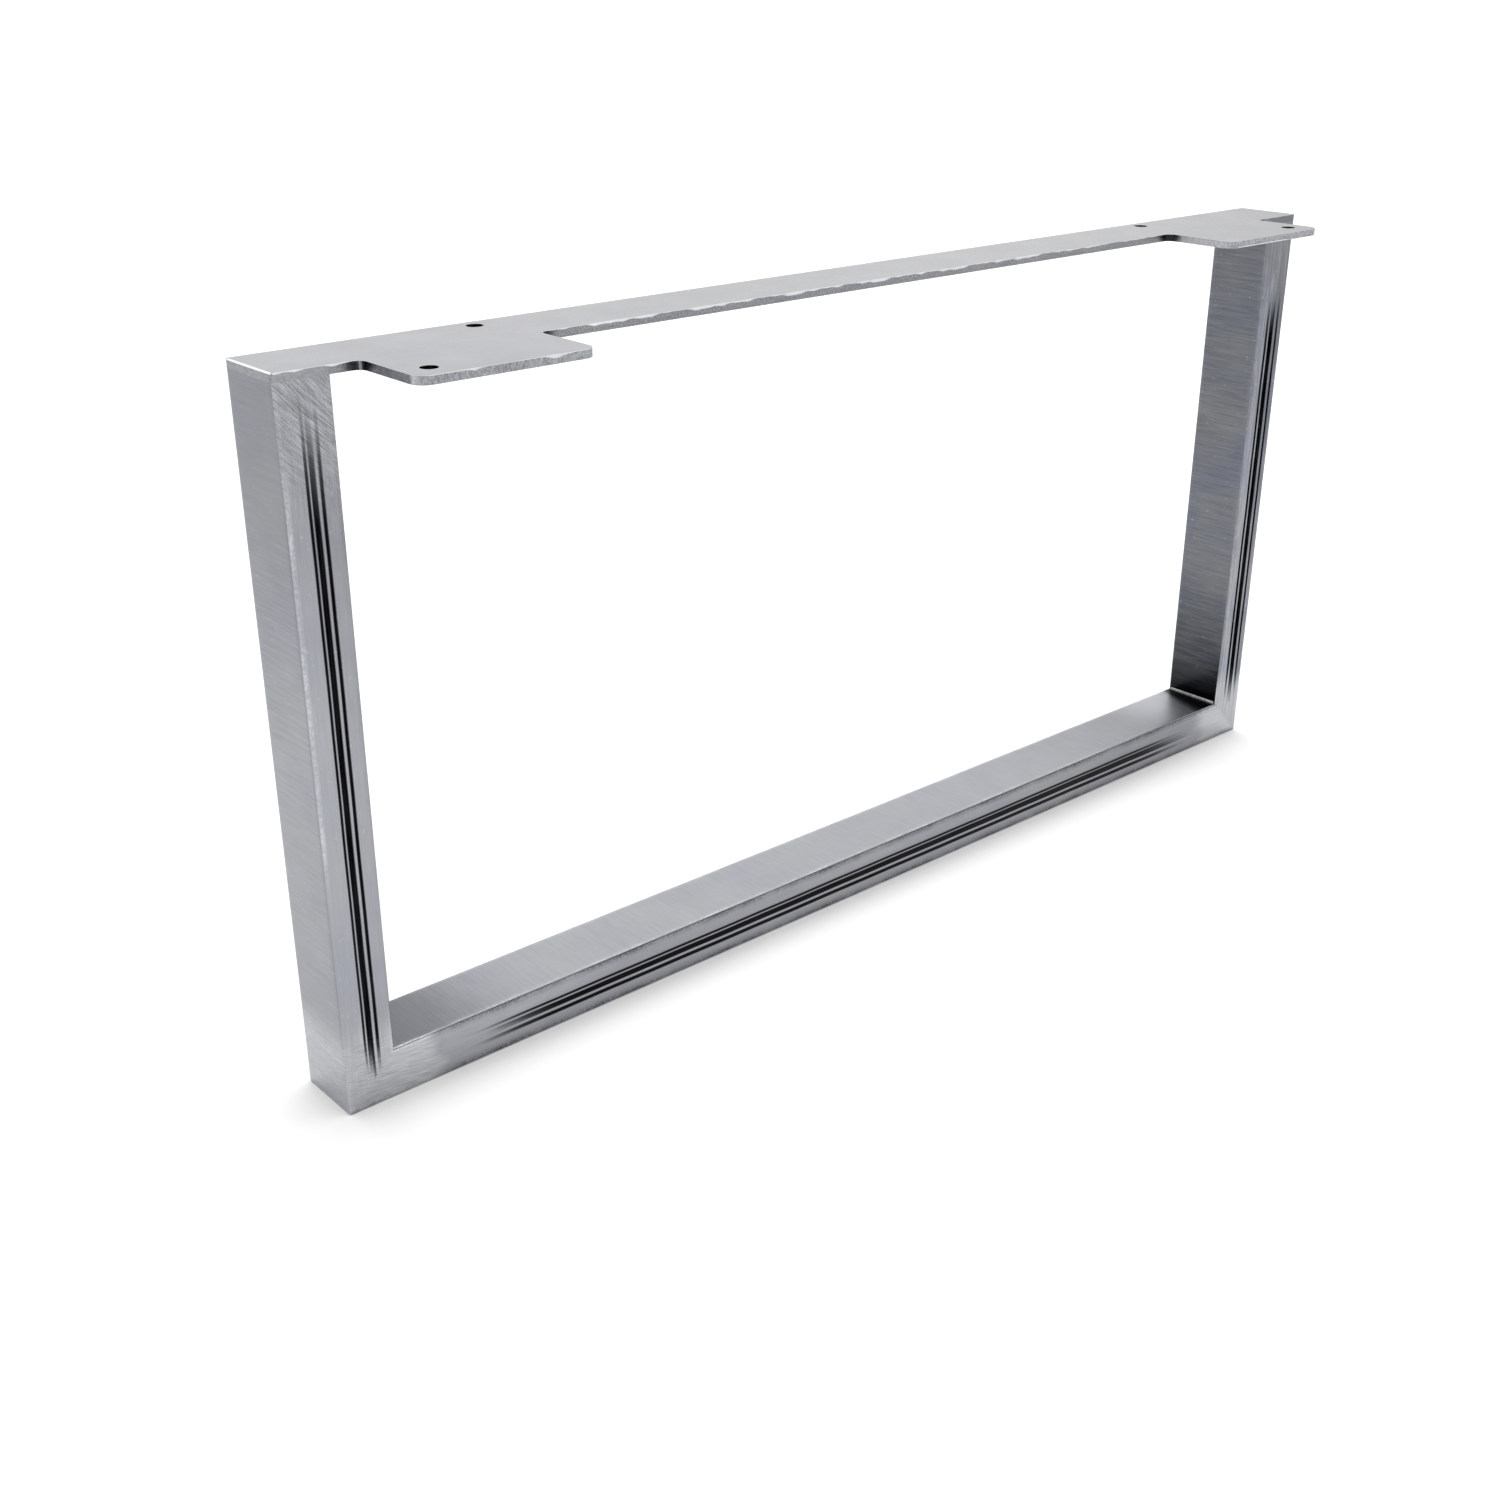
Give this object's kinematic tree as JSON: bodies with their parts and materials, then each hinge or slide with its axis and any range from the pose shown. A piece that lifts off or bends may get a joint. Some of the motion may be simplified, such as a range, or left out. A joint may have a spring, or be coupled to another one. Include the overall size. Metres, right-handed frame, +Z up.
{
  "type": "steel furniture leg",
  "caption": "U-shaped frame leg of mitred rectangular steel tube under a flat plate with forward tabs and screw holes, to carry a table or bench top.",
  "frame": {"origin": "on the floor, at the middle of the bottom rail's lower face", "axes": "+X along the rail from the left upright to the right one, -Y to the front where the plate's tabs reach, +Z up"},
  "size_m": [0.8, 0.095, 0.4],
  "materials": {
    "tube_steel": "raw steel tube, brushed across and ground flush at the welds, with a dark seam line along the front",
    "plate_steel": "raw laser-cut steel plate, ground, with bright worn edges",
    "weld_steel": "bare weld bead"
  },
  "bodies": {
    "root": {"left_upright": "tube_steel", "right_upright": "tube_steel", "bottom_rail": "tube_steel", "top_plate": "plate_steel", "left_corner_weld": "weld_steel", "right_corner_weld": "weld_steel", "left_plate_weld": "weld_steel", "right_plate_weld": "weld_steel"}
  },
  "joints": []
}
